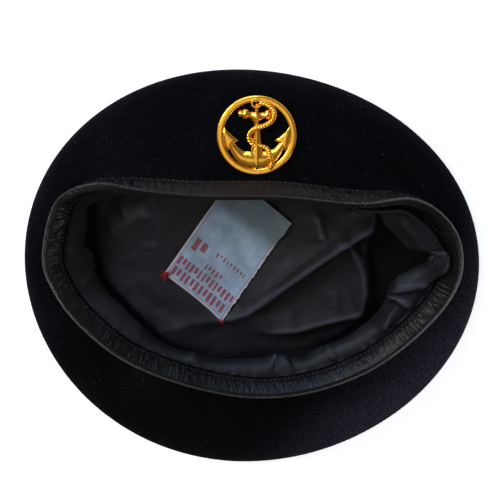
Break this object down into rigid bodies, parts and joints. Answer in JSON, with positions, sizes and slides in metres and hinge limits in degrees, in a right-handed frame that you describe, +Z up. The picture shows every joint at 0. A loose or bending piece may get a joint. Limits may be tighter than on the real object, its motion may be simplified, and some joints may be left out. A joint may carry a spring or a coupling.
{
  "type": "military beret",
  "caption": "Felt beret lying on its crown, opening up, with a leather-bound rim, loose cloth lining, woven label and a pierced gilt badge.",
  "frame": {"origin": "on the floor, under the middle of the crown's outline", "axes": "+Z up out of the head opening, -Y towards the front with the badge, +X across the beret"},
  "size_m": [0.237, 0.2246, 0.0442],
  "materials": {
    "felt": "fulled wool felt, near-black navy, soft nap",
    "leather": "thin black sheepskin, gathered, semi-gloss",
    "lining_cloth": "dark grey coated satin, soft sheen",
    "label_weave": "pale grey-blue woven tape with red threads",
    "gilt": "polished gilt on struck brass",
    "steel": "plain"
  },
  "bodies": {
    "root": {"felt_crown": "felt", "leather_binding": "leather", "lining": "lining_cloth", "woven_label": "label_weave", "badge": "gilt", "badge_clip": "steel"}
  },
  "joints": []
}
